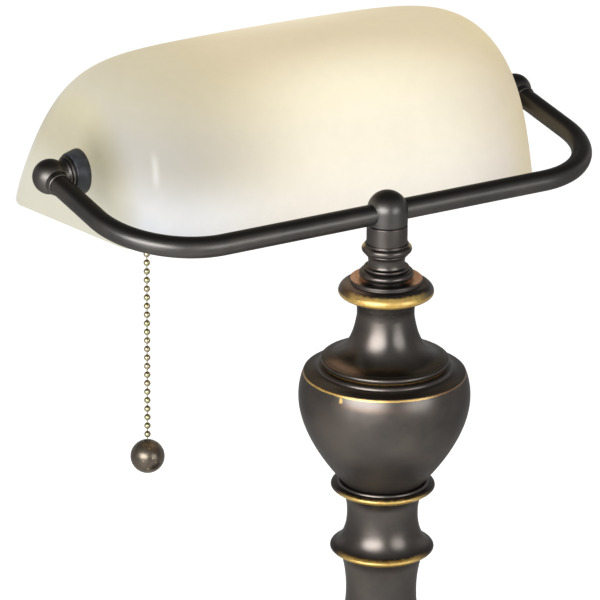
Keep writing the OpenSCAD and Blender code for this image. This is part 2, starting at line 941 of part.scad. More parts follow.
// Bulb
module bulb_cap() {
    wall = 0.6;
    color("silver")
        on_holder()
            translate([0, 0, bulb_cap_s])
                ring(bulb_cap_r, bulb_cap_r - wall, bulb_cap_end_s - bulb_cap_s);
}

module bulb_tip() {
    outline = [
        [0, tip_s], [4.5, tip_s], [4.5, tip_s + 1.2], [bulb_cap_r - 1, bulb_cap_s],
        [bulb_cap_r - 1, bulb_cap_s + 3], [0, bulb_cap_s + 3]
    ];
    color("dimgray")
        on_holder()
            rotate_extrude()
                polygon(outline);
}

function bulb_outline(inset) = concat(
    [[0, bulb_cap_s + 3 + inset], [bulb_cap_r - 1 - inset, bulb_cap_s + 3 + inset],
     [bulb_cap_r - 1 - inset, bulb_cap_end_s + 0.5]],
    bezier([bulb_cap_r + 0.5 - inset, bulb_cap_end_s + 1],
           [bulb_cap_r + 2 - inset, globe_s - globe_r - bulb_throat],
           [globe_r - inset, globe_s - globe_r], [globe_r - inset, globe_s], 14),
    arc([0, globe_s], globe_r - inset, 0, 90, 14)
);

module bulb_glass() {
    color("ivory")
        on_holder()
            rotate_extrude()
                difference() {
                    polygon(bulb_outline(0));
                    polygon(bulb_outline(bulb_glass_t));
                }
}

// Pull chain: hollow beads threaded on dumbbell links, d is the depth below the tilt axis
module at_depth(d) {
    translate([chain_x, reach_y, pivot_z - d])
        children();
}

module bead() {
    rotate_extrude()
        difference() {
            circle(r = bead_r);
            circle(r = bead_r - bead_wall);
            translate([-2 * bead_r, -2 * bead_r])
                square([2 * bead_r + bead_hole_r, 4 * bead_r]);
        }
}

module link(span) {
    head = span / 2 - link_seat;
    rotate_extrude()
        intersection() {
            union() {
                translate([0, head])
                    circle(r = link_head_r);
                translate([0, -head])
                    circle(r = link_head_r);
                translate([-link_r, -head])
                    square([2 * link_r, 2 * head]);
            }
            translate([0, -span])
                square([span, 2 * span]);
        }
}

module upper_beads() {
    color("goldenrod")
        union() {
            at_depth(stop_d)
                bead();
            for (k = [0:upper_count])
                at_depth(first_d + k * bead_pitch)
                    bead();
        }
}

module upper_links() {
    color("goldenrod")
        union() {
            at_depth((stop_d + first_d) / 2)
                link(first_d - stop_d);
            for (k = [0:upper_count - 1])
                at_depth(first_d + (k + 0.5) * bead_pitch)
                    link(bead_pitch);
        }
}

// Sleeve that holds the end bead of each chain
module chain_coupling() {
    h = coupling_end_d - coupling_top_d;
    inner_r = coupling_r - coupling_wall;
    outline = [
        [coupling_hole_low_r, 0], [coupling_r - 0.5, 0], [coupling_r, 0.5], [coupling_r, h - 0.5],
        [coupling_r - 0.5, h], [coupling_hole_top_r, h], [coupling_hole_top_r, h - coupling_wall],
        [inner_r, h - coupling_wall], [inner_r, coupling_wall], [coupling_hole_low_r, coupling_wall]
    ];
    color("goldenrod")
        at_depth(coupling_end_d)
            rotate_extrude()
                polygon(outline);
}

module lower_beads() {
    color("goldenrod")
        union()
            for (k = [0:bead_count - 1])
                at_depth(hang_d + k * bead_pitch)
                    bead();
}

module lower_links() {
    color("goldenrod")
        union() {
            for (k = [0:bead_count - 2])
                at_depth(hang_d + (k + 0.5) * bead_pitch)
                    link(bead_pitch);
            at_depth(last_d + ball_link / 2)
                link(ball_link);
        }
}

// Ball on the end, with an eye in its top and a pocket that holds the head of the last link
module pull_ball() {
    color(bronze)
        difference() {
            at_depth(ball_d)
                sphere(r = pull_ball_r);
            at_depth(ball_head_d)
                cylinder(r = bead_hole_r, h = pull_ball_r);
            at_depth(ball_head_d)
                sphere(r = link_head_r + seat_gap);
            at_depth(ball_d - pull_ball_r + ball_eye_depth)
                cylinder(r = ball_eye_r, h = pull_ball_r);
        }
}

base_pad();
base_shell();
base_weight();
cord_bush();
rod_nut();
rod_washer();
stem_rod();
lower_column();
middle_spool();
vase_ring();
vase();
vase_shoulder();
bell_neck();
disc_collar();
neck_spool();
hub_collar();
hub_tee();
yoke_arm_left();
yoke_arm_right();
elbow_left();
elbow_right();
pivot_nipple();
pivot_stud();
pivot_cups();
outer_grommets();
inner_washers();
clamp_washers();
pivot_nuts();
glass_shade();
socket_cap();
socket_shell();
socket_liner();
socket_body();
screw_shell();
centre_contact();
chain_guide();
switch_pin();
switch_lever();
bulb_cap();
bulb_tip();
bulb_glass();
upper_beads();
upper_links();
chain_coupling();
lower_beads();
lower_links();
pull_ball();
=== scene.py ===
"""Bankers lamp: finer pieces, finishes, light and the photograph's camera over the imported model.

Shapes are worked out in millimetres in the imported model's frame, and their meshes are made in metres.
"""
import json
import math

import bpy
from mathutils import Matrix, Vector


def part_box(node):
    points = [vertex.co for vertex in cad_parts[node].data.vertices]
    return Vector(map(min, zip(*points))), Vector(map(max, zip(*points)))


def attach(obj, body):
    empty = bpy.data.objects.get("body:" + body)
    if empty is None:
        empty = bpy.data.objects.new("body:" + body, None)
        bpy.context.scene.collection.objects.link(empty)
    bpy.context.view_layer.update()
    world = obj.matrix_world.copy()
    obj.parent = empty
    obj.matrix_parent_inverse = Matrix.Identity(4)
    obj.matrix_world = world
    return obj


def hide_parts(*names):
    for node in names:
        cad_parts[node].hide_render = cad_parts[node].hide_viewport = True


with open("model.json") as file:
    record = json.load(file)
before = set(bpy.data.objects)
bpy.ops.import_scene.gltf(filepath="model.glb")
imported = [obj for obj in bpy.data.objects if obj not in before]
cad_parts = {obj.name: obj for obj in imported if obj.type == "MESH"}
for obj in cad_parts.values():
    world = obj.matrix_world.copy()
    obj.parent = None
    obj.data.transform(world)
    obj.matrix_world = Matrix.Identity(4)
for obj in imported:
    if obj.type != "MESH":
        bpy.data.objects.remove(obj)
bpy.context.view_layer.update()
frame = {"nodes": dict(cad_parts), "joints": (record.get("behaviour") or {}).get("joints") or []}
MM = 0.001


# Sizes that the frame gives

def low(node):
    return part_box(node)[0] / MM


def high(node):
    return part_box(node)[1] / MM


def radius(node):
    return (high(node).x - low(node).x) / 2


def radius_across(node):
    """Radius of a node that lies along X."""
    return (high(node).z - low(node).z) / 2


def joint_place(name):
    return next(Vector(j["pos_m"]) / MM for j in frame["joints"] if j["name"] == name)


base_r = radius("base_shell")
felt_top = high("base_pad").z
base_top = high("base_shell").z
foot_r = radius("lower_column")
column_top = high("lower_column").z
spool_top = high("middle_spool").z
ring_r = radius("vase_ring")
ring_top = high("vase_ring").z
vase_r = radius("vase")
vase_top = high("vase").z
shoulder_top = high("vase_shoulder").z
bell_r = radius("bell_neck")
bell_top = high("bell_neck").z
disc_r = radius("disc_collar")
disc_top = high("disc_collar").z
neck_r = radius("neck_spool")
neck_top = high("neck_spool").z
hub_r = radius("hub_collar")
collar_top = high("hub_collar").z
DOME_LIFT = 1.0
bar_z = high("hub_tee").z - hub_r - DOME_LIFT
pivot = joint_place("shade_tilt")
ball_r = high("elbow_right").z - pivot.z
ball_x = high("elbow_right").x - ball_r
seat_x = high("glass_shade").x
bulb_end_x = high("bulb_glass").x

# Sizes inside the outlines, the same as the solids'
ROD_R = 5.0
PLINTH_H = 14.0
WAIST_R = 17.6
FLARE = 3.2
VASE_FOOT_R = 20.3
VASE_LIP = 2.3
BELL_NECK_R = 14.1
COLLAR_SINK = 1.5
HUB_DROP = 6.0
TUBE_R = 5.2
GLOBE_R = 30.0
BULB_NECK_LEN = 45.0

# Shade: the solid's own formula
SHADE_HALF = 121.0
RIM_FRONT = 26.0
RIM_BACK = 188.0
RIDGE_Y = 112.0
RIM_Z = bar_z - 15.5
RIDGE_Z = bar_z + 65.5
GLASS_T = 3.8
REST_TILT = math.radians(-5.2)
END_POWER = (6.5, 6.5)
FRONT_POWER = (3.4, 2.0)
BACK_POWER = (1.2, 1.65)
PLAN_POWER = (5.3, 2.05)


# Curves and meshes

SHARP_ANGLE = 34


def direction(azimuth, elevation):
    """Unit vector; azimuth 0 looks along -Y and 90 along +X."""
    a, e = math.radians(azimuth), math.radians(elevation)
    return Vector((math.sin(a) * math.cos(e), -math.cos(a) * math.cos(e), math.sin(e)))


def bezier(a, b, c, d, steps=36):
    """Points along a cubic curve from a to d."""
    points = []
    for i in range(steps + 1):
        t = i / steps
        s = 1 - t
        axes = zip(a, b, c, d)
        points.append(tuple(s**3 * p + 3*s*s*t * q + 3*s*t*t * r + t**3 * w for p, q, r, w in axes))
    return points


def arc(centre, r, start, end, steps=14):
    """Points along an arc, by its angles in degrees."""
    angles = [math.radians(start + (end - start) * i / steps) for i in range(steps + 1)]
    return [(centre[0] + r * math.cos(a), centre[1] + r * math.sin(a)) for a in angles]


def soften(points, size=0.35, least_turn=22):
    """Rounds the corners of an outline, so that edges catch the light."""
    out = [points[0]]
    for before, at, after in zip(points, points[1:], points[2:]):
        p, q, r = Vector(before), Vector(at), Vector(after)
        come, go = q - p, r - q
        if come.length < 1e-6 or go.length < 1e-6:
            continue
        if math.degrees(come.angle(go)) < least_turn:
            out.append(at)
            continue
        cut = min(size, 0.45 * come.length, 0.45 * go.length)
        start, end = q - come.normalized() * cut, q + go.normalized() * cut
        for i in range(5):
            t = i / 4
            out.append(tuple((1 - t)**2 * start + 2 * t * (1 - t) * q + t * t * end))
    out.append(points[-1])
    return out


def finish_mesh(name, points, faces, sharp=SHARP_ANGLE):
    mesh = bpy.data.meshes.new(name)
    mesh.from_pydata([Vector(p) * MM for p in points], [], faces)
    mesh.polygons.foreach_set("use_smooth", [True] * len(mesh.polygons))
    mesh.set_sharp_from_angle(angle=math.radians(sharp))
    return mesh


def lathe(name, outline, place=Matrix.Identity(4), segments=144):
    """A solid turned about its own Z from an outline of (radius, height), placed by a matrix in mm."""
    points, rings, faces = [], [], []
    for r, z in outline:
        count = 1 if r < 1e-6 else segments
        rings.append((len(points), count))
        for k in range(count):
            a = 2 * math.pi * k / segments
            points.append(place @ Vector((r * math.cos(a), r * math.sin(a), z)))
    for (a, na), (b, nb) in zip(rings, rings[1:]):
        for k in range(segments):
            k1 = (k + 1) % segments
            quad = [a + k % na, a + k1 % na, b + k1 % nb, b + k % nb]
            faces.append(list(dict.fromkeys(quad)))
    return finish_mesh(name, points, [f for f in faces if len(f) > 2])


def bored(outline, r=ROD_R):
    """Closes an outline down to a bore of radius r at both ends."""
    return [(r, outline[0][1])] + outline + [(r, outline[-1][1])]


def raised(outline, z):
    return [(r, h + z) for r, h in outline]


def join(name, meshes):
    """One mesh from several."""
    whole = bpy.data.meshes.new(name)
    points, faces, count = [], [], 0
    for mesh in meshes:
        points += [v.co.copy() for v in mesh.vertices]
        faces += [[count + i for i in p.vertices] for p in mesh.polygons]
        count += len(mesh.vertices)
    whole.from_pydata(points, [], faces)
    whole.polygons.foreach_set("use_smooth", [True] * len(whole.polygons))
    whole.set_sharp_from_angle(angle=math.radians(SHARP_ANGLE))
    return whole


def piece(name, mesh, body, slot, finish, *nodes):
    """Adds a mesh as a piece that rides a body in place of CAD nodes."""
    made = bpy.data.objects.new(name, mesh)
    bpy.context.scene.collection.objects.link(made)
    mesh.materials.append(finish)
    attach(made, body)
    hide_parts(*nodes)
    return made


# Finishes

class Nodes:
    """Short calls for the nodes of one tree."""

    def __init__(self, tree, coordinates):
        self.tree = tree
        self.place = tree.nodes.new("ShaderNodeTexCoord").outputs[coordinates]

    def feed(self, socket, value):
        if isinstance(value, bpy.types.NodeSocket):
            self.tree.links.new(value, socket)
        elif hasattr(value, "__len__") and len(value) == 3 and socket.type == "RGBA":
            socket.default_value = (*value, 1)
        else:
            socket.default_value = value

    def node(self, kind, inputs, **settings):
        made = self.tree.nodes.new(kind)
        for key, value in settings.items():
            setattr(made, key, value)
        for key, value in inputs.items():
            self.feed(made.inputs[key], value)
        return made

    def noise(self, scale, detail=3, roughness=0.5, place=None):
        inputs = {"Vector": place or self.place, "Scale": scale, "Detail": detail, "Roughness": roughness}
        return self.node("ShaderNodeTexNoise", inputs).outputs["Fac"]

    def stretched(self, scale):
        return self.node("ShaderNodeMapping", {"Vector": self.place, "Scale": scale}).outputs["Vector"]

    def step(self, value, start, end, low=0.0, high=1.0):
        inputs = {"Value": value, "From Min": start, "From Max": end, "To Min": low, "To Max": high}
        return self.node("ShaderNodeMapRange", inputs, interpolation_type="SMOOTHSTEP").outputs["Result"]

    def calc(self, operation, a, b=0.0):
        return self.node("ShaderNodeMath", {0: a, 1: b}, operation=operation).outputs["Value"]

    def vector(self, operation, a, b=(0, 0, 0), output="Vector"):
        return self.node("ShaderNodeVectorMath", {0: a, 1: b}, operation=operation).outputs[output]

    def blend(self, factor, a, b):
        made = self.node("ShaderNodeMix", {0: factor, 6: a, 7: b}, data_type="RGBA")
        return made.outputs[2]

    def add(self, a, b):
        made = self.node("ShaderNodeMix", {0: 1.0, 6: a, 7: b}, data_type="RGBA", blend_type="ADD")
        return made.outputs[2]

    def take(self, a, b):
        made = self.node("ShaderNodeMix", {0: 1.0, 6: a, 7: b}, data_type="RGBA", blend_type="SUBTRACT")
        return made.outputs[2]

    def split(self, vector):
        return self.node("ShaderNodeSeparateXYZ", {"Vector": vector}).outputs

    def distance(self, centre, scale=(1, 1, 1)):
        """Distance from a point in metres, with each axis scaled."""
        off = self.vector("MULTIPLY", self.vector("SUBTRACT", self.place, centre), scale)
        return self.vector("LENGTH", off, output="Value")

    def toward(self, azimuth, start, end):
        """1 on the side of the column that faces an azimuth, by the cosine of the angle from it."""
        flat = self.vector("NORMALIZE", self.vector("MULTIPLY", self.place, (1, 1, 0)))
        return self.step(self.vector("DOT_PRODUCT", flat, direction(azimuth, 0), "Value"), start, end)

    def upward(self):
        """1 where the surface faces up, -1 where it faces down."""
        return self.split(self.tree.nodes.new("ShaderNodeTexCoord").outputs["Normal"])[2]

    def band(self, value, start, end, soft):
        """1 where value lies between start and end, with soft edges."""
        rise = self.step(value, start - soft, start + soft)
        fall = self.step(value, end - soft, end + soft, 1.0, 0.0)
        return self.calc("MULTIPLY", rise, fall)

    def specks(self, scale, size, share):
        """Small dots, in a share of the cells of a cell pattern."""
        cells = self.node("ShaderNodeTexVoronoi", {"Vector": self.place, "Scale": scale})
        dots = self.step(cells.outputs["Distance"], size * 0.5, size, 1.0, 0.0)
        chance = self.node("ShaderNodeSeparateColor", {"Color": cells.outputs["Color"]}).outputs[0]
        return self.calc("MULTIPLY", dots, self.calc("LESS_THAN", chance, share))

    def ray_level(self, levels):
        """A level that depends on the kind of ray: 0 for rays that are not named."""
        path = self.tree.nodes.new("ShaderNodeLightPath")
        total = 0.0
        for name, level in levels.items():
            total = self.calc("ADD", total, self.calc("MULTIPLY", path.outputs[name], level))
        return total


class Finish(Nodes):
    """A material with one principled shader."""

    def __init__(self, name):
        self.material = bpy.data.materials.new(name)
        self.material.use_nodes = True
        self.material.node_tree.nodes.clear()
        super().__init__(self.material.node_tree, "Object")
        self.bsdf = self.node("ShaderNodeBsdfPrincipled", {})
        self.node("ShaderNodeOutputMaterial", {"Surface": self.bsdf.outputs["BSDF"]})

    def set(self, **values):
        """Values or links for the shader's sockets, named with underscores for spaces."""
        for key, value in values.items():
            self.feed(self.bsdf.inputs[key.replace("_", " ")], value)

    def bump(self, height, strength, distance):
        inputs = {"Height": height, "Strength": strength, "Distance": distance * MM}
        self.set(Normal=self.node("ShaderNodeBump", inputs).outputs["Normal"])


# Bronze: tints of the coat, of what shows where it is rubbed through, and of painted shade
GOLD = (0.66, 0.44, 0.11)
TARNISH = (0.62, 0.46, 0.35)
COPPER = (0.36, 0.18, 0.09)
BRIGHT_COPPER = (0.6, 0.29, 0.13)
RUST = (0.16, 0.07, 0.04)
# Painted shade, for faces that look up and for bands under overhangs
PAINTED_SHADE = (0.03, 0.026, 0.023)
DARK_BRONZE = (0.1, 0.09, 0.083)
BROWN_BRONZE = (0.14, 0.12, 0.106)
RED_BRONZE = (0.11, 0.06, 0.04)
FLECK = (0.5, 0.4, 0.26)

# Bronze: how much painted shade darkens it where it faces up, and how it shines
UPWARD_SHADE = 0.7
POLISH = (0.27, 0.34)
UNDERSIDE_ROUGHNESS = 0.5
COAT_METALLIC = 0.96
BARE_ROUGHNESS, BARE_METALLIC = 0.38, 0.68
LACQUER, LACQUER_ROUGHNESS = 0.9, 0.3
EDGE_TINT = (0.68, 0.68, 0.68)


class Rub:
    """A band of heights and radii in mm, on one side or all round, where the coat is worn, or where painted
    shade or a painted reflection is laid on.
    """

    def __init__(self, start, end, strength=1.0, tint=GOLD, radii=None, side=None, ragged=1.0, soft=0.28):
        self.start, self.end, self.strength, self.tint = start, end, strength, tint
        self.radii, self.side, self.ragged, self.soft = radii, side, ragged, soft

    def mask(self, f, z, r, noise):
        """How much of the coat is gone, from the height, the radius and the noise that frays the edges."""
        level = f.calc("ADD", z, f.calc("MULTIPLY", noise, self.ragged * MM))
        soft = self.soft * MM
        gone = f.band(level, self.start * MM, self.end * MM, soft)
        if self.radii:
            gone = f.calc("MULTIPLY", gone, f.band(r, self.radii[0] * MM, self.radii[1] * MM, soft))
        if self.side:
            gone = f.calc("MULTIPLY", gone, f.toward(*self.side))
        return gone


def bronze(name, rubs=(), dark=DARK_BRONZE, brown=BROWN_BRONZE, upward_shade=UPWARD_SHADE, polish=POLISH):
    """Dark bronze, with lacquered gold or copper where it is rubbed, and painted shade where it faces up
    and in the dark bands it is given.
    """
    f = Finish(name)
    mottle = f.noise(34, 4, 0.6)
    colour = f.blend(f.step(mottle, 0.36, 0.68), dark, brown)
    colour = f.blend(f.step(f.noise(17, 2), 0.6, 0.78, 0.0, 0.3), colour, RED_BRONZE)
    # Painted shade: faces that look up are darkened, standing in for the dark room they reflect
    colour = f.blend(f.step(f.upward(), 0.45, 0.85, 0.0, upward_shade), colour, PAINTED_SHADE)
    rough = f.step(mottle, 0.3, 0.7, *polish)
    rough = f.step(f.upward(), -0.7, -0.3, UNDERSIDE_ROUGHNESS, rough)
    bare, metallic = 0.0, COAT_METALLIC
    if rubs:
        z = f.split(f.place)[2]
        r = f.distance((0, 0, 0), (1, 1, 0))
        fray = f.calc("SUBTRACT", f.noise(420, 3, 0.65), 0.5)
        streaks = f.noise(300, 4, 0.7, f.stretched((1, 1, 3)))
        cover = f.step(streaks, 0.28, 0.5, 0.45, 1.0)
        tarnish = f.step(streaks, 0.46, 0.66, 0.0, 0.75)
        for rub in rubs:
            gone = f.calc("MULTIPLY", rub.mask(f, z, r, fray), f.calc("MULTIPLY", cover, rub.strength))
            dulled = [a * b for a, b in zip(rub.tint, TARNISH)]
            colour = f.blend(gone, colour, f.blend(tarnish, rub.tint, dulled))
            # Bands of painted shade leave the coat as it is, so they do not count as bare metal
            if rub.tint != PAINTED_SHADE:
                bare = f.calc("MAXIMUM", bare, gone)
        rough = f.step(bare, 0.0, 1.0, rough, BARE_ROUGHNESS)
        metallic = f.step(bare, 0.0, 1.0, metallic, BARE_METALLIC)
        f.set(Coat_Weight=f.calc("MULTIPLY", bare, LACQUER), Coat_Roughness=LACQUER_ROUGHNESS)
    colour = f.blend(f.specks(150, 0.03, 0.16), colour, FLECK)
    f.set(Base_Color=colour, Metallic=metallic, Roughness=rough, Specular_Tint=EDGE_TINT)
    f.bump(f.noise(1300, 2), 0.06, 0.05)
    return f.material


# Where the wear, and the painted reflection on the bell, are strongest, as azimuths round the column
FRONT = -33
SEAM_SIDE = -45
FRONT_LEFT = -55
FLECK_SIDE = -64
BELL_REFLECTION_SIDE = -80
LEFT = -95
BEHIND = 147


def column_bronze():
    """Bronze with the column's worn edges, painted shade under the disc and the rings, and a painted
    reflection on the bell, each set by the piece that carries it.
    """
    return bronze("column_bronze", [
        # Painted shade under the disc, the vase ring and the lower ring, where each overhang shades the
        # metal below
        Rub(bell_top - 6, bell_top + 0.3, 0.75, PAINTED_SHADE, ragged=0.5, soft=2.5),
        Rub(spool_top - 5, spool_top, 0.45, PAINTED_SHADE, ragged=0.5, soft=2),
        Rub(column_top - 4, column_top, 0.4, PAINTED_SHADE, ragged=0.5, soft=2),
        Rub(bell_top + 0.1, bell_top + 5, 0.8, ragged=1.6),
        Rub(bell_top + 0.1, bell_top + 7.6, side=(FRONT, 0.35, 0.85), ragged=1.6, soft=0.5),
        Rub(disc_top - 0.3, disc_top + 0.3, 0.85, BRIGHT_COPPER, (0, disc_r - 5.8),
            (BEHIND, -0.8, -0.45), ragged=0.2),
        Rub(disc_top - 5, disc_top - 1.5, 0.35, RUST, side=(LEFT, 0.6, 0.95)),
        # Painted reflection: a faint reddish copper tint on the bell's flank above its bead, standing in
        # for the shade's warm glow reflected there
        Rub(shoulder_top + 3.2, shoulder_top + 4.6, 0.32, COPPER, side=(BELL_REFLECTION_SIDE, 0.8, 0.97), soft=1),
        Rub(shoulder_top, shoulder_top + 0.5, 0.6, ragged=0.4),
        Rub(vase_top - 0.45, vase_top + 0.12, 0.9, COPPER, ragged=0.3, soft=0.12),
        Rub(vase_top - 0.7, vase_top + 0.2, 1.0, side=(FRONT_LEFT, 0.2, 0.9), ragged=0.5, soft=0.15),
        Rub(vase_top - 6, vase_top - 3.5, 0.12, COPPER, side=(SEAM_SIDE, 0.8, 0.98), ragged=2, soft=1.2),
        Rub(vase_top - 3.8, vase_top - 1.4, 1.0, side=(FLECK_SIDE, 0.9996, 0.99998), ragged=5),
        Rub(spool_top - 0.2, spool_top + 2.5, 0.8),
        Rub(spool_top - 0.2, spool_top + 3.7, side=(FRONT, 0.4, 0.85), ragged=0.9, soft=0.5),
        Rub(column_top - 0.2, column_top + 2.5, 0.8),
        Rub(column_top - 0.2, column_top + 4.1, side=(FRONT, 0.4, 0.85), ragged=0.9, soft=0.5),
        Rub(neck_top - 2, neck_top - 0.6, 0.7, side=(BEHIND + 75, 0.8, 0.97)),
        Rub(neck_top - 2, neck_top - 0.6, 0.7, side=(BEHIND - 75, 0.8, 0.97)),
        Rub(PLINTH_H - 0.6, PLINTH_H + 0.4, 0.75),
        Rub(base_top - 9.6, base_top - 7.4, 0.8),
        Rub(base_top + 0.6, base_top + 2.2, 0.7),
    ])


def pull_bronze():
    """Brown bronze with gold specks."""
    f = Finish("pull_bronze")
    mottle = f.noise(90, 4, 0.6)
    colour = f.blend(f.step(mottle, 0.35, 0.65), (0.11, 0.093, 0.073), (0.2, 0.165, 0.13))
    colour = f.blend(f.specks(520, 0.22, 0.2), colour, (0.85, 0.62, 0.26))
    f.set(Base_Color=colour, Metallic=1.0, Roughness=f.step(mottle, 0.3, 0.7, 0.28, 0.38))
    f.bump(f.noise(1800, 2), 0.08, 0.05)
    return f.material


def chain_brass():
    """Antique brass, darker at the waists of the beads: partly patina, partly painted shade where the links
    go into them.
    """
    f = Finish("chain_brass")
    facing = f.calc("ABSOLUTE", f.upward())
    tone = f.blend(f.step(f.noise(140, 2), 0.35, 0.65), (0.5, 0.48, 0.26), (0.55, 0.46, 0.32))
    # Patina and painted shade: the poles of each bead, where the links go in, are darkened
    colour = f.blend(f.step(facing, 0.55, 0.95), tone, (0.13, 0.11, 0.06))
    f.set(Base_Color=colour, Metallic=1.0, Roughness=f.step(f.noise(900, 3), 0.3, 0.7, 0.2, 0.34))
    f.bump(f.noise(2500, 2), 0.06, 0.02)
    return f.material


def rubber():
    """Black rubber, dusty in places."""
    f = Finish("black_rubber")
    dust = f.noise(300, 4, 0.6)
    f.set(Base_Color=f.blend(f.step(dust, 0.4, 0.75), (0.014, 0.016, 0.019), (0.03, 0.034, 0.04)))
    f.set(Roughness=f.step(dust, 0.3, 0.7, 0.42, 0.58))
    f.bump(f.noise(2200, 3), 0.12, 0.05)
    return f.material


# Painted light through the glass, added or taken away by region, with painted shade and a painted
# reflection
GLASS_TINT = (0.1, 0.095, 0.08)
BODY_LIGHT = (0.535, 0.445, 0.33)
UPPER_LIGHT = (0.65, 0.545, 0.36)
BULB_LIGHT = (0.305, 0.33, 0.29)
TABLE_LIGHT = (0.005, 0.02, 0.08)
WINDOW_LIGHT = (0.25, 0.265, 0.27)
END_COOL_LIGHT = (0.0, 0.04, 0.11)
END_SHADE = (0.1, 0.07, 0.06)
GROMMET_SHADE = (0.18, 0.163, 0.128)
RIM_SHADE = (0.0, 0.0, 0.09)
STREAK_LIGHT = (0.15, 0.16, 0.165)
FACE_SHADE = (0.055, 0.01, 0.03)
FACE_LIGHT = (0.09, 0.1, 0.07)

# The bulb's glow: middle and reach in mm along the tilt axis and in degrees round it, from the front up
BULB_X, BULB_LEFT, BULB_RIGHT = 13, 110, 115
BULB_ANGLE, BULB_BELOW, BULB_ABOVE = 5, 150, 83
BULB_CORE = 0.2

# Where the other regions fade in or out, in mm along the tilt axis (X) or above the bar (RISE)
UPPER_RISE = (29, 57)
LOW_RISE = (-2, 28)
CORNER_X = (-seat_x - 1, -seat_x + 9)
FLANK_X = (-90, -18)
COOL_LIT_X, COOL_LIT_RISE = (-118, -40), (39, 90)
RIM_X, RIM_RISE, RIM_TOP_SHARE = (84, 106), (5, 35), 0.35

# Shade beside the left grommet: its middle from the pivot, and how far it reaches
SPOT_FORWARD, SPOT_UP = 19, 8
SPOT_NEAR, SPOT_FAR = 3, 25
SPOT_SCALE = (1, 1, 0.9)

# A narrow reflection near the left corner, and its lean along X for each mm of height
STREAK_X, STREAK_HALF_W, STREAK_SOFT_W = -104, 1.1, 1.1
STREAK_RISE, STREAK_HALF_H, STREAK_SOFT_H = 26, 6, 4
STREAK_LEAN = 0.16


def frosted_glass():
    """Cream frosted glass with painted light: the bulb's glow from inside, light from below and the left,
    and painted shade and a painted reflection, by region.
    """
    f = Finish("frosted_glass")
    x, y, z = (f.split(f.place)[i] for i in range(3))
    rise = f.calc("SUBTRACT", z, pivot.z * MM)
    angle = f.calc("ARCTAN2", rise, f.calc("ABSOLUTE", f.calc("SUBTRACT", pivot.y * MM, y)))

    def above_bar(rise, low=0.0, high=1.0):
        return f.step(z, (bar_z + rise[0]) * MM, (bar_z + rise[1]) * MM, low, high)

    def along(span, low=0.0, high=1.0):
        return f.step(x, span[0] * MM, span[1] * MM, low, high)

    def times(a, b):
        return f.calc("MULTIPLY", a, b)

    def within(value, middle, half, soft):
        return f.band(value, (middle - half) * MM, (middle + half) * MM, soft * MM)

    def share(value, centre, below, above):
        """Distance from a centre, as a share of the reach on its own side."""
        off = f.calc("SUBTRACT", value, centre)
        return f.calc("MAXIMUM", f.calc("DIVIDE", off, above), f.calc("DIVIDE", off, -below))

    def lit(place, colour):
        return f.blend(place, (0, 0, 0), colour)

    across = share(x, BULB_X * MM, BULB_LEFT * MM, BULB_RIGHT * MM)
    around = share(angle, *(math.radians(a) for a in (BULB_ANGLE, BULB_BELOW, BULB_ABOVE)))
    reach = f.calc("SQRT", f.calc("ADD", times(across, across), times(around, around)))
    near_bulb = f.step(reach, BULB_CORE, 1.0, 1.0, 0.0)
    low_part = above_bar(LOW_RISE, 1.0, 0.0)
    corner = along(CORNER_X)
    face = f.calc("SUBTRACT", 1.0, corner)
    flank = times(corner, along(FLANK_X, 1.0, 0.0))
    cool_lit = times(corner, times(along(COOL_LIT_X, 1.0, 0.0), above_bar(COOL_LIT_RISE, 1.0, 0.0)))
    spot = Vector((-seat_x, pivot.y - SPOT_FORWARD, pivot.z + SPOT_UP)) * MM
    by_grommet = f.step(f.distance(spot, SPOT_SCALE), SPOT_NEAR * MM, SPOT_FAR * MM, 1.0, 0.0)
    rim = times(along(RIM_X), above_bar(RIM_RISE, 1.0, RIM_TOP_SHARE))
    above = f.calc("SUBTRACT", z, (bar_z + STREAK_RISE) * MM)
    beside = f.calc("SUBTRACT", x, times(above, STREAK_LEAN))
    streak = within(beside, STREAK_X, STREAK_HALF_W, STREAK_SOFT_W)
    streak = times(streak, within(above, 0, STREAK_HALF_H, STREAK_SOFT_H))
    streak = times(streak, f.calc("LESS_THAN", y, pivot.y * MM))
    light = f.blend(above_bar(UPPER_RISE), BODY_LIGHT, UPPER_LIGHT)
    light = f.add(light, lit(near_bulb, BULB_LIGHT))
    light = f.add(light, lit(low_part, TABLE_LIGHT))
    light = f.add(light, lit(times(low_part, flank), WINDOW_LIGHT))
    # Painted cool light at the left end of the shade
    light = f.add(light, lit(cool_lit, END_COOL_LIGHT))
    light = f.take(light, lit(flank, END_SHADE))
    light = f.take(light, lit(face, FACE_SHADE))
    light = f.add(light, lit(times(low_part, face), FACE_LIGHT))
    light = f.take(light, lit(by_grommet, GROMMET_SHADE))
    light = f.take(light, lit(rim, RIM_SHADE))
    light = f.add(light, lit(streak, STREAK_LIGHT))
    cloud = f.step(f.noise(22, 3, 0.55), 0.3, 0.7, 0.985, 1.015)
    grain = f.step(f.noise(160, 2), 0.3, 0.7, 0.99, 1.01)
    light = f.node("ShaderNodeVectorMath", {0: light, "Scale": times(cloud, grain)}, operation="SCALE")
    f.set(Base_Color=GLASS_TINT, Roughness=0.55, IOR=1.5, Specular_IOR_Level=0.3)
    f.set(Emission_Color=light.outputs["Vector"], Emission_Strength=1.0)
    f.bump(f.noise(700, 2), 0.03, 0.05)
    return f.material


def inner_glass():
    """The matt inner face of the shade, with the bulb's warm light on it painted as a glow."""
    f = Finish("inner_glass")
    cloud = f.noise(22, 3, 0.55)
    f.set(Base_Color=f.blend(cloud, (0.46, 0.42, 0.34), (0.52, 0.47, 0.38)), Roughness=0.6)
    # Painted light: the bulb's warm light on the inner face, as a glow
    f.set(Emission_Color=f.blend(cloud, (0.16, 0.11, 0.06), (0.18, 0.13, 0.075)), Emission_Strength=1.0)
    f.bump(f.noise(700, 2), 0.05, 0.05)
    return f.material


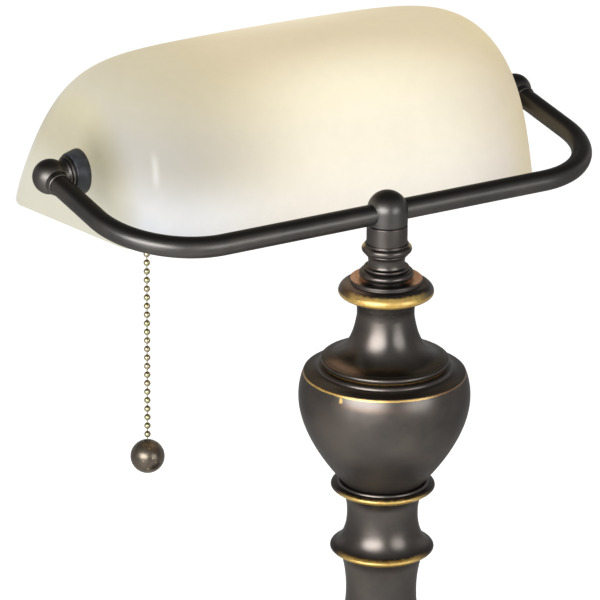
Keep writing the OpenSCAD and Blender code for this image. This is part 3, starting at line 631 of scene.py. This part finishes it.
def bulb_light():
    """The lit bulb, darker towards its neck."""
    f = Finish("lit_bulb")
    neck_x = low("bulb_glass").x
    neck = f.step(f.split(f.place)[0], neck_x * MM, (neck_x + BULB_NECK_LEN) * MM)
    warm = f.blend(f.noise(40, 2), (1.0, 0.86, 0.62), (1.0, 0.9, 0.7))
    f.set(Base_Color=(0.35, 0.33, 0.3), Roughness=0.3)
    f.set(Emission_Color=f.blend(neck, (0.3, 0.24, 0.16), warm), Emission_Strength=0.8)
    return f.material


def plated(name, colour, worn, rough=(0.22, 0.4), scale=120):
    """A bright metal with fine cloudy wear."""
    f = Finish(name)
    cloud = f.noise(scale, 4, 0.6)
    f.set(Base_Color=f.blend(f.step(cloud, 0.35, 0.7), colour, worn), Metallic=1.0)
    f.set(Roughness=f.step(f.noise(scale * 3, 3), 0.3, 0.7, *rough))
    f.bump(f.noise(scale * 12, 2), 0.08, 0.03)
    return f.material


def moulded(name, colour, flecks, rough=(0.4, 0.6), scale=200):
    """A dull moulded or pressed material with flecks."""
    f = Finish(name)
    cloud = f.noise(scale, 5, 0.65)
    f.set(Base_Color=f.blend(f.step(cloud, 0.4, 0.7), colour, flecks))
    f.set(Roughness=f.step(cloud, 0.3, 0.7, *rough))
    f.bump(f.noise(scale * 6, 3), 0.15, 0.06)
    return f.material


def felt():
    """Dark green felt."""
    f = Finish("felt")
    fibres = f.noise(900, 5, 0.7, f.stretched((1, 3, 1)))
    f.set(Base_Color=f.blend(fibres, (0.02, 0.035, 0.02), (0.06, 0.085, 0.05)), Roughness=0.95)
    f.set(Sheen_Weight=0.4)
    f.bump(fibres, 0.6, 0.3)
    return f.material


column_metal = column_bronze()
# The arms get stronger painted shade where they face up
arm_metal = bronze("arm_bronze", dark=(0.1, 0.095, 0.09), brown=(0.132, 0.12, 0.11), upward_shade=0.95,
                   polish=(0.34, 0.42))
holder_metal = bronze("holder_bronze", dark=(0.09, 0.075, 0.06), brown=(0.14, 0.1, 0.07))
ball_metal = pull_bronze()
brass = chain_brass()
black_rubber = rubber()
shade_glass = frosted_glass()
shade_inside = inner_glass()
bulb_glow = bulb_light()
steel = plated("zinc_steel", (0.62, 0.62, 0.6), (0.4, 0.4, 0.38))
contact_metal = plated("contact_brass", (0.8, 0.62, 0.3), (0.55, 0.4, 0.2))
bulb_metal = plated("bulb_metal", (0.8, 0.8, 0.78), (0.6, 0.6, 0.58))
iron = moulded("cast_iron", (0.05, 0.05, 0.05), (0.09, 0.085, 0.08))
bush = moulded("bush_plastic", (0.015, 0.015, 0.015), (0.03, 0.03, 0.03))
fibre = moulded("pressed_fibre", (0.42, 0.3, 0.17), (0.55, 0.42, 0.27))
phenolic = moulded("phenolic", (0.05, 0.028, 0.016), (0.1, 0.055, 0.03))
felt_cloth = felt()


# Column, from the base upwards

def base_outline():
    step_r = foot_r + 1.5
    return soften(
        [(base_r - 1, felt_top), (base_r, felt_top + 1.2), (base_r, PLINTH_H - 1)]
        + arc((base_r - 1.5, PLINTH_H - 1), 1.5, 0, 90)
        + [(base_r - 4, PLINTH_H + 0.5)]
        + bezier((base_r - 4.5, PLINTH_H + 1.5), (base_r - 12, PLINTH_H + 13),
                 (foot_r + 16, base_top - 22), (foot_r + 5, base_top - 11), 60)
        + arc((foot_r + 3.5, base_top - 7.5), 2.5, -70, 90, 20)
        + [(step_r, base_top - 4.4), (step_r, base_top - 0.8), (foot_r + 0.7, base_top)]
    )


def trumpet_outline():
    h = column_top - base_top
    return soften(
        [(foot_r - 0.6, 0), (foot_r, 0.8), (foot_r, 2.2), (foot_r - 0.8, 3)]
        + bezier((foot_r - 1.4, 3.6), (WAIST_R + 4, 7), (WAIST_R, 19), (WAIST_R, h - 21), 48)
        + bezier((WAIST_R, h - 20.5), (WAIST_R, h - 12), (WAIST_R + 1.5, h - 5), (WAIST_R + FLARE, h))
    )


def ring_edge():
    return (
        [(WAIST_R + FLARE, 0), (ring_r - 2.4, 0.4), (ring_r - 0.5, 1.8)]
        + arc((ring_r - 1.2, 2.7), 1.2, -20, 70)
    )


def spool_outline():
    h = spool_top - column_top
    return soften(
        ring_edge()
        + bezier((ring_r - 2.4, 4.5), (ring_r - 5.4, 6.8), (WAIST_R, 12.5), (WAIST_R, h - 12.5), 40)
        + bezier((WAIST_R, h - 12), (WAIST_R, h - 6), (WAIST_R + 1.2, h - 3), (WAIST_R + FLARE, h))
    )


def vase_ring_outline():
    h = ring_top - spool_top
    lip = [(ring_r - 3.2, h - 1.2), (ring_r - 3.5, h - 0.4), (ring_r - 3.9, h)]
    return soften(ring_edge() + lip + [(VASE_FOOT_R, h)])


def vase_outline():
    h = vase_top - ring_top
    return (
        bezier((VASE_FOOT_R, 0), (VASE_FOOT_R + 10.6, 12), (vase_r, h - 28), (vase_r, h - 12.6), 60)
        + bezier((vase_r, h - 11.6), (vase_r, h - 7.6), (vase_r - 1, h - 3), (vase_r - VASE_LIP, h), 24)
    )


def shoulder_outline():
    h = shoulder_top - vase_top
    lip_r = vase_r - VASE_LIP
    return soften(
        [(lip_r - 0.2, 0), (lip_r - 0.1, 0.3)]
        + bezier((lip_r - 0.4, 0.6), (vase_r - 4.2, 0.9), (bell_r + 3.2, 1), (bell_r + 1.6, h - 2.2), 24)
        + bezier((bell_r + 1.5, h - 2), (bell_r + 1.2, h - 1.2),
                 (bell_r + 0.9, h - 0.6), (bell_r - 0.2, h - 0.4), 12)
        + [(bell_r - 0.9, h)]
    )


def bell_outline():
    h = bell_top - shoulder_top
    return soften(
        [(bell_r - 1.2, 0)]
        + arc((bell_r - 1.4, 1.8), 1.4, -60, 80, 20)
        + [(bell_r - 2, 3.3)]
        + bezier((bell_r - 2.4, 3.6), (BELL_NECK_R + 5.6, 4.5),
                 (BELL_NECK_R + 1.6, 14), (BELL_NECK_R, h - 8), 56)
        + bezier((BELL_NECK_R, h - 7.5), (BELL_NECK_R, h - 4),
                 (BELL_NECK_R + 0.3, h - 1.5), (BELL_NECK_R + 1, h), 14)
    )


def disc_outline():
    h = disc_top - bell_top
    return soften(
        [(BELL_NECK_R + 1.2, 0), (disc_r - 5.9, 0.4)]
        + bezier((disc_r - 5.2, 0.7), (disc_r - 2.4, 1.6), (disc_r, 2.6), (disc_r, h - 7), 24)
        + bezier((disc_r, h - 6.8), (disc_r, h - 4.5), (disc_r - 2.5, h - 2.2), (disc_r - 5.6, h - 1.9), 24)
        + [(disc_r - 5.6, h - 0.4), (disc_r - 6, h)]
    )


def neck_outline():
    h = neck_top - disc_top
    return soften(
        [(neck_r - 1, 0)]
        + arc((neck_r - 2, 2.3), 2, -60, 80, 16)
        + [(neck_r - 2.6, 4.5)]
        + arc((neck_r - 3.1, 5.3), 0.9, -60, 70, 10)
        + bezier((neck_r - 3.9, 6.2), (neck_r - 4.7, 7.1),
                 (neck_r - 4.6, 10.5), (neck_r - 3.6, h - 6.1), 20)
        + arc((neck_r - 3.4, h - 5.4), 0.6, -60, 80, 8)
        + arc((neck_r - 3.2, h - 2.9), 2.1, -70, 75, 16)
        + [(hub_r + 0.7, h - 0.5), (hub_r + 0.6, h)]
    )


def collar_outline():
    h = collar_top - neck_top
    return soften([(hub_r, -COLLAR_SINK), (hub_r, h - 0.5), (hub_r - 0.5, h)])


def tee_outline():
    foot = [(ROD_R, -HUB_DROP), (hub_r - 0.5, -HUB_DROP), (hub_r, -HUB_DROP + 0.5)]
    return soften(foot) + arc((0, DOME_LIFT), hub_r, 0, 90, 40)


# Piece, the node it replaces, its outline, the height it starts at and its number of sides
COLUMN = [
    ("base_cover", "base_shell", base_outline, 0, 192),
    ("lower_column_turned", "lower_column", trumpet_outline, base_top, 144),
    ("middle_spool_turned", "middle_spool", spool_outline, column_top, 144),
    ("vase_ring_turned", "vase_ring", vase_ring_outline, spool_top, 144),
    ("vase_turned", "vase", vase_outline, ring_top, 192),
    ("shoulder_turned", "vase_shoulder", shoulder_outline, vase_top, 192),
    ("bell_turned", "bell_neck", bell_outline, shoulder_top, 160),
    ("disc_turned", "disc_collar", disc_outline, bell_top, 144),
    ("neck_turned", "neck_spool", neck_outline, disc_top, 128),
    ("collar_turned", "hub_collar", collar_outline, neck_top, 128),
]
for name, node, outline, z, segments in COLUMN:
    mesh = lathe(name, bored(raised(outline(), z)), segments=segments)
    piece(name, mesh, "stand", "bronze", column_metal, node)

tee_mesh = lathe("hub_dome", raised(tee_outline(), bar_z), segments=128)
piece("hub_dome", tee_mesh, "stand", "bronze", arm_metal, "hub_tee")


# Pivots: local Z runs outwards from the column along the tilt axis

def on_pivot(side):
    return Matrix.Translation(pivot) @ Matrix.Rotation(math.radians(90 * side), 4, "Y")


ARM_RISE = math.atan2(pivot.z - bar_z, pivot.y)
SPIGOT_X = ball_x - ball_r + 0.2
CUP_T = 1.5
CUP_R = ball_r
NECK_R = ball_r - 1.4
BOSS_R = TUBE_R + 0.7
BOSS_LEN = ball_r + 1.2
GROMMET_BIG_R = 11.2
GROMMET_SMALL_R = 9.7
GROMMET_IN_X = seat_x + 0.1
GROMMET_OUT_X = SPIGOT_X - CUP_T
PIVOT_SEGMENTS = 96


def elbow_mesh(name, side):
    place = on_pivot(side)
    ball = arc((0, ball_x), ball_r, -90, 90, 48)
    ball[0], ball[-1] = (0, ball[0][1]), (0, ball[-1][1])
    neck = soften(
        [(ROD_R, SPIGOT_X), (NECK_R + 0.2, SPIGOT_X)]
        + [(NECK_R + 0.5, SPIGOT_X + 0.4), (NECK_R + 0.2, SPIGOT_X + 1.1)]
        + bezier((NECK_R - 0.1, SPIGOT_X + 1.4), (NECK_R - 0.4, SPIGOT_X + 2.2),
                 (NECK_R - 0.4, SPIGOT_X + 3), (NECK_R, SPIGOT_X + 4.6), 10)
        + [(0, ball_x)], 0.25)
    boss = soften(
        [(0, 0), (BOSS_R, 1), (BOSS_R, BOSS_LEN - 0.4)]
        + [(BOSS_R - 0.4, BOSS_LEN), (TUBE_R, BOSS_LEN)], 0.3)
    end = Matrix.Translation((side * ball_x, pivot.y, pivot.z))
    arm_place = end @ Matrix.Rotation(math.radians(90) + ARM_RISE, 4, "X")
    parts = (("ball", ball, place), ("neck", neck, place), ("boss", boss, arm_place))
    return join(name, [lathe(*part, PIVOT_SEGMENTS) for part in parts])


def cup_outline():
    inner, outer = GROMMET_OUT_X, SPIGOT_X
    return soften([(ROD_R, inner), (CUP_R, inner), (CUP_R, outer), (ROD_R, outer)], 0.45)


def grommet_outline():
    return soften(
        [(ROD_R, GROMMET_IN_X), (GROMMET_BIG_R, GROMMET_IN_X), (GROMMET_BIG_R, GROMMET_IN_X + 1.5)]
        + [(GROMMET_SMALL_R, GROMMET_OUT_X), (ROD_R, GROMMET_OUT_X)], 0.6, 8)


for side, word in ((-1, "left"), (1, "right")):
    mesh = elbow_mesh("ball_elbow_" + word, side)
    piece("ball_elbow_" + word, mesh, "stand", "bronze", arm_metal, "elbow_" + word)


def on_both_pivots(name, outline):
    sides = [lathe(name + "_side", outline, on_pivot(side), PIVOT_SEGMENTS) for side in (-1, 1)]
    return join(name, sides)


cups = on_both_pivots("pivot_rings", cup_outline())
piece("pivot_rings", cups, "stand", "bronze", arm_metal, "pivot_cups")
grommets = on_both_pivots("rubber_grommets", grommet_outline())
piece("rubber_grommets", grommets, "stand", "rubber", black_rubber, "outer_grommets")


# Shade

RIM_ROUND = 0.3
CROWN_LEVELS = [0.9996, 0.9999, 0.99999]


def dome(h, power):
    return max(0.0, 1 - h ** power[0]) ** (1 / power[1])


def signed_power(v, e):
    return math.copysign(abs(v) ** e, v)


def shade_point(h, u, inset):
    """A point at a share h of the height and an angle u round the plan, inset from the outer face."""
    half = (SHADE_HALF - inset) * dome(h, END_POWER)
    front = (RIDGE_Y - RIM_FRONT - inset) * dome(h, FRONT_POWER)
    back = (RIM_BACK - RIDGE_Y - inset) * dome(h, BACK_POWER)
    e = 2 / (PLAN_POWER[0] + (PLAN_POWER[1] - PLAN_POWER[0]) * h)
    limit = seat_x - inset
    x = max(-limit, min(limit, half * signed_power(math.cos(u), e)))
    y = RIDGE_Y + (back - front) / 2 + (front + back) / 2 * signed_power(math.sin(u), e)
    return Vector((x, y, RIM_Z + (RIDGE_Z - RIM_Z - inset) * h))


def shade_mesh(name, rings=56, sides=256, rim_steps=6):
    """Inner face, rounded rim and outer face in one shell; the inner face has the second material."""
    turn = Matrix.Translation(pivot) @ Matrix.Rotation(REST_TILT, 4, "X") @ Matrix.Translation(-pivot)
    angles = [2 * math.pi * (j + 0.5) / sides for j in range(sides)]
    levels = [math.sin(math.pi / 2 * i / rings) for i in range(rings)] + CROWN_LEVELS
    loops = [[shade_point(h, u, GLASS_T) for u in angles] for h in reversed(levels)]
    outer = [[shade_point(h, u, 0) for u in angles] for h in levels]
    for k in range(1, rim_steps):
        t = math.pi * k / rim_steps
        share = (1 - math.cos(t)) / 2
        drop = Vector((0, 0, math.sin(t) * GLASS_T * RIM_ROUND))
        loops.append([a.lerp(b, share) - drop for a, b in zip(loops[len(levels) - 1], outer[0])])
    loops += outer
    points = [turn @ p for loop in loops for p in loop]
    faces = []
    for i in range(len(loops) - 1):
        for j in range(sides):
            k = (j + 1) % sides
            faces.append((i * sides + j, i * sides + k, (i + 1) * sides + k, (i + 1) * sides + j))
    last = (len(loops) - 1) * sides
    inside = (len(levels) - 1) * sides
    faces.append(tuple(range(last, last + sides)))
    faces.insert(0, tuple(range(sides - 1, -1, -1)))
    mesh = finish_mesh(name, points, faces, 40)
    for face in mesh.polygons[:inside + 1]:
        face.material_index = 1
    return mesh


shade = piece("shade_shell", shade_mesh("shade_shell"), "shade", "shade_glass", shade_glass, "glass_shade")
shade.data.materials.append(shade_inside)


# Bulb

def bulb_outline():
    neck_x = low("bulb_glass").x
    cap_r = radius_across("bulb_cap")
    cap_end = high("bulb_cap").x
    centre = bulb_end_x - GLOBE_R
    globe = arc((0, centre), GLOBE_R, 0, 90, 32)
    globe[-1] = (0, bulb_end_x)
    return (
        [(0, neck_x), (cap_r - 1, neck_x), (cap_r - 1, cap_end + 0.5)]
        + bezier((cap_r + 0.5, cap_end + 1), (cap_r + 2, centre - GLOBE_R - 8), (GLOBE_R, centre - GLOBE_R),
                 (GLOBE_R, centre), 36)
        + globe[1:]
    )


bulb_mesh = lathe("bulb_envelope", bulb_outline(), on_pivot(1), PIVOT_SEGMENTS)
piece("bulb_envelope", bulb_mesh, "stand", "bulb_glass", bulb_glow, "bulb_glass")


# Finishes of the solids that stay

KEPT = {
    arm_metal: ["yoke_arm_left", "yoke_arm_right"],
    holder_metal: ["socket_cap", "socket_shell", "chain_guide"],
    ball_metal: ["pull_ball"],
    brass: ["upper_beads", "upper_links", "chain_coupling", "lower_beads", "lower_links"],
    black_rubber: ["inner_washers"],
    steel: ["rod_nut", "rod_washer", "stem_rod", "pivot_nipple", "pivot_stud", "clamp_washers",
            "pivot_nuts", "switch_pin"],
    contact_metal: ["screw_shell", "centre_contact", "switch_lever"],
    bulb_metal: ["bulb_cap", "bulb_tip"],
    iron: ["base_weight"],
    bush: ["cord_bush"],
    fibre: ["socket_liner"],
    phenolic: ["socket_body"],
    felt_cloth: ["base_pad"],
}
for finish, nodes in KEPT.items():
    for node in nodes:
        for material_slot in frame["nodes"][node].material_slots:
            material_slot.material = finish


# Stage: a pale floor, soft light and the photograph's camera

FLOOR_HALF = 6.0
FLOOR_DROP = 0.0002
FLOOR_TO_CAMERA = 0.6
FLOOR_TO_METAL = 0.16
FLOOR_NEAR, FLOOR_FAR, FLOOR_LEFT = 0.06, 0.45, 0.14
FAR_SHARE = 0.55
LIGHT_POOL_AZIMUTH, LIGHT_POOL_AWAY, LIGHT_POOL_R = -66, 0.85, 0.5
LIGHT_POOL_LEVEL = 1.2
FILL_LIGHT = 0.42
HORIZON = 0.36
CEILING = 0.3
BACKDROP = 0.35


def make_floor():
    """A pale floor, white to the camera; reflections see painted light on it, brightest near the lamp and
    toward the key, darker away from it, with one painted pool of light.
    """
    mesh = bpy.data.meshes.new("floor")
    s, z = FLOOR_HALF, -FLOOR_DROP
    mesh.from_pydata([(-s, -s, z), (s, -s, z), (s, s, z), (-s, s, z)], [], [(0, 1, 2, 3)])
    floor = bpy.data.objects.new("floor", mesh)
    bpy.context.scene.collection.objects.link(floor)
    f = Finish("pale_floor")
    away = f.distance(direction(LIGHT_POOL_AZIMUTH, 0) * FLOOR_LEFT)
    fade = f.step(away, FLOOR_NEAR, FLOOR_FAR, 1.0, FAR_SHARE)
    mirrored = f.ray_level({"Is Glossy Ray": 1.0})
    pale = f.blend(f.noise(3, 2), (0.86, 0.86, 0.855), (0.88, 0.88, 0.875))
    dimmed = f.blend(fade, (0, 0, 0), pale)
    direct = f.ray_level({"Is Camera Ray": FLOOR_TO_CAMERA, "Is Transmission Ray": FLOOR_TO_METAL})
    # Painted pool of light from the key lamp, seen only in reflections
    light_pool = f.step(f.distance(direction(LIGHT_POOL_AZIMUTH, 0) * LIGHT_POOL_AWAY), 0.0, LIGHT_POOL_R, LIGHT_POOL_LEVEL, 0.0)
    seen = f.calc("ADD", f.calc("MULTIPLY", fade, FLOOR_TO_METAL), light_pool)
    glow = f.calc("ADD", direct, f.calc("MULTIPLY", mirrored, seen))
    f.set(Base_Color=f.blend(mirrored, pale, dimmed), Roughness=0.9, Specular_IOR_Level=0.1)
    f.set(Emission_Color=(1, 1, 1), Emission_Strength=glow)
    mesh.materials.append(f.material)


def make_world():
    """White where the camera looks, even fill for surfaces, a dim room and backdrop in reflections."""
    world = bpy.data.worlds.new("studio")
    bpy.context.scene.world = world
    world.use_nodes = True
    world.node_tree.nodes.clear()
    n = Nodes(world.node_tree, "Generated")
    up = n.split(n.place)[2]
    room = n.step(up, 0.0, 0.45, HORIZON, CEILING)
    backdrop = n.calc("MULTIPLY", n.toward(BEHIND, 0.2, 0.8), n.step(up, 0.1, 0.6, BACKDROP, 0.0))
    direct = n.ray_level({"Is Camera Ray": 1.0})
    mirrored = n.ray_level({"Is Glossy Ray": 1.0, "Is Transmission Ray": 1.0})
    seen = n.calc("ADD", direct, n.calc("MULTIPLY", mirrored, n.calc("ADD", room, backdrop)))
    other = n.calc("SUBTRACT", 1.0, n.calc("ADD", direct, mirrored))
    level = n.calc("ADD", seen, n.calc("MULTIPLY", other, FILL_LIGHT))
    back = n.node("ShaderNodeBackground", {"Color": (1, 1, 1), "Strength": level})
    n.node("ShaderNodeOutputWorld", {"Surface": back.outputs["Background"]})


# Lamps: name, azimuth, elevation, distance and size in metres, watts and colour, all aimed at one point
AIM = Vector((0, 0.05, 0.22))
LAMPS = [
    ("key", -59, 14.5, 1.65, (2.1, 0.95), 60, (0.98, 0.99, 1.0)),
    ("fill", 14, 10, 1.7, (1.4, 0.9), 15.5, (0.96, 0.99, 1.0)),
]
LAMP_FADE = (0.3, 0.5)


def softbox(name, azimuth, elevation, distance, size, power, colour):
    """A rectangular lamp that is brightest at its middle and fades towards its edges."""
    light = bpy.data.lights.new(name, "AREA")
    light.shape = "RECTANGLE"
    light.size, light.size_y = size
    light.energy = power
    light.color = colour
    light.use_nodes = True
    n = Nodes(light.node_tree, "Object")
    across = n.node("ShaderNodeNewGeometry", {}).outputs["Parametric"]
    off = n.vector("DISTANCE", across, (0.5, 0.5, 0), "Value")
    n.feed(light.node_tree.nodes["Emission"].inputs["Strength"], n.step(off, *LAMP_FADE, 1.0, 0.0))
    lamp = bpy.data.objects.new(name, light)
    bpy.context.scene.collection.objects.link(lamp)
    back = direction(azimuth, elevation)
    lamp.location = AIM + back * distance
    lamp.rotation_mode = "QUATERNION"
    lamp.rotation_quaternion = back.to_track_quat("Z", "Y")


# Camera: its direction from the hub, and the hub's place in the photograph, which is 600 pixels square
CAMERA_AZIMUTH = -33.26
CAMERA_ELEVATION = 19.32
CAMERA_ROLL = 0.95
CAMERA_DISTANCE = 2.0301
FOCAL_PIXELS = 4200.0
PHOTO_PIXELS = 600.0
HUB_PIXEL = (387.4, 211.9)
SENSOR = 36.0
CLIP = (0.05, 40)


def make_camera():
    hub = Vector((0, 0, bar_z * MM))
    back = direction(CAMERA_AZIMUTH, CAMERA_ELEVATION)
    level = Vector((0, 0, 1)).cross(back).normalized()
    upright = back.cross(level)
    roll = math.radians(CAMERA_ROLL)
    right = level * math.cos(roll) + upright * math.sin(roll)
    up = upright * math.cos(roll) - level * math.sin(roll)
    across = (PHOTO_PIXELS / 2 - HUB_PIXEL[0]) / FOCAL_PIXELS
    down = (PHOTO_PIXELS / 2 - HUB_PIXEL[1]) / FOCAL_PIXELS
    forward = (-back + right * across - up * down).normalized()
    right = forward.cross(up).normalized()
    up = right.cross(forward)
    data = bpy.data.cameras.new("camera")
    data.sensor_width = SENSOR
    data.lens = FOCAL_PIXELS / PHOTO_PIXELS * SENSOR
    data.clip_start, data.clip_end = CLIP
    camera = bpy.data.objects.new("camera", data)
    bpy.context.scene.collection.objects.link(camera)
    turn = Matrix((right, up, -forward)).transposed().to_4x4()
    camera.matrix_world = Matrix.Translation(hub + back * CAMERA_DISTANCE) @ turn
    bpy.context.scene.camera = camera


make_floor()
make_world()
for lamp in LAMPS:
    softbox(*lamp)
make_camera()
bpy.context.scene.view_settings.view_transform = "Standard"
